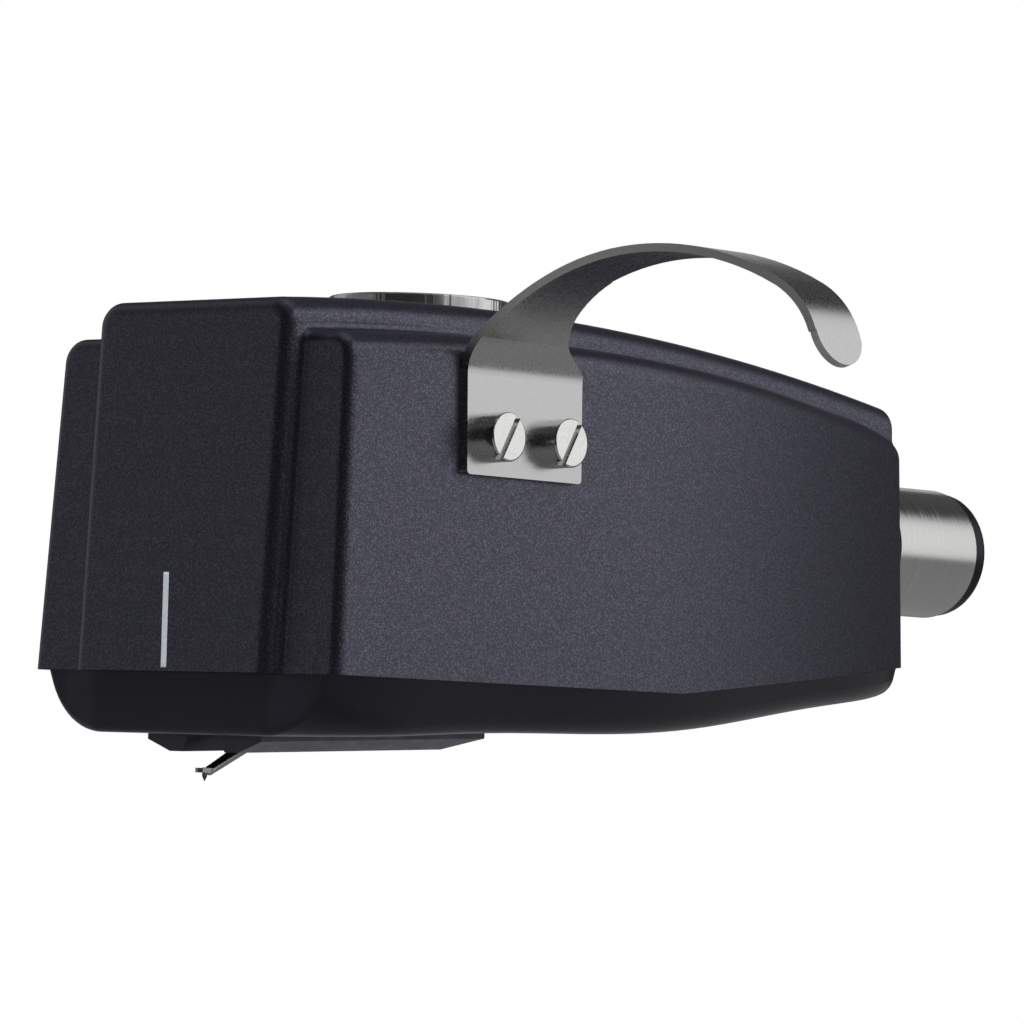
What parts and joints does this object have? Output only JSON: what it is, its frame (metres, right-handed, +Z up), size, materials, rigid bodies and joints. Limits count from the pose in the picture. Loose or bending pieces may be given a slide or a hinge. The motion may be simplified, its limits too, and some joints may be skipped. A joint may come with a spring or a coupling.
{
  "type": "phono pickup head",
  "caption": "Moving-coil phono pickup built into a long dark bayonet headshell, with an arched steel finger lift, a raked cantilever with a diamond tip and a contact-pin connector tube.",
  "frame": {"origin": "on the connector's axis at the shell's rear face, where the bayonet seats", "axes": "+X to the rear along the connector, the nose towards -X, the finger lift on the -Y side, +Z up"},
  "size_m": [0.069, 0.0456, 0.0296],
  "materials": {
    "shell_paint": "fine metallic grey-black enamel, satin",
    "cover_plastic": "black, moulded, semi-gloss",
    "black_steel": "blackened screw",
    "disc_chrome": "polished wall, satin face",
    "lift_steel": "satin",
    "block_plastic": "dark grey, satin",
    "yoke_iron": "ground soft iron",
    "magnet_ferrite": "sintered, ground",
    "pin_steel": "turned",
    "damper_rubber": "soft butyl",
    "former_plastic": "moulded cross",
    "coil_copper": "enamelled copper wire",
    "cantilever_aluminium": "anodised grey",
    "diamond": "polished",
    "contact_gold": "gold plated",
    "lead_white": "insulated wire",
    "lead_blue": "insulated wire",
    "lead_green": "insulated wire",
    "lead_red": "insulated wire",
    "connector_steel": "nickel plated, turned",
    "connector_black": "black moulding",
    "gasket_rubber": "black"
  },
  "bodies": {
    "headshell": {"shell": "shell_paint", "bottom_cover": "cover_plastic", "cover_screw": "black_steel", "top_disc": "disc_chrome", "finger_lift": "lift_steel", "finger_lift_screws": "lift_steel", "stylus_block": "block_plastic", "generator_screws": "pin_steel", "front_yoke": "yoke_iron", "rear_yoke": "yoke_iron", "magnet": "magnet_ferrite", "pole_pin": "yoke_iron", "pole_pin_screw": "pin_steel", "tie_wire": "pin_steel", "output_terminals": "contact_gold", "lead_white": "lead_white", "lead_blue": "lead_blue", "lead_green": "lead_green", "lead_red": "lead_red", "connector_tube": "connector_steel", "connector_nut": "connector_steel", "connector_insulator": "connector_black", "contact_pins": "contact_gold", "locking_pin": "connector_steel", "gasket": "gasket_rubber"},
    "damper": {"damper_ring": "damper_rubber"},
    "stylus_assembly": {"cantilever": "cantilever_aluminium", "stylus_tip": "diamond", "coil_former": "former_plastic", "left_coil": "coil_copper", "right_coil": "coil_copper"}
  },
  "joints": [
    {"name": "stylus_lift", "type": "hinge", "parent": "headshell", "child": "damper", "pos_m": [-0.0446, 0, -0.01175], "axis": [0, 1, 0], "range_deg": [-2.5, 2.5], "stiffness_Nm_per_rad": 0.0045},
    {"name": "stylus_sway", "type": "hinge", "parent": "damper", "child": "stylus_assembly", "pos_m": [-0.0446, 0, -0.01175], "axis": [-0.454, 0, 0.891], "range_deg": [-2.5, 2.5], "stiffness_Nm_per_rad": 0.0045}
  ]
}
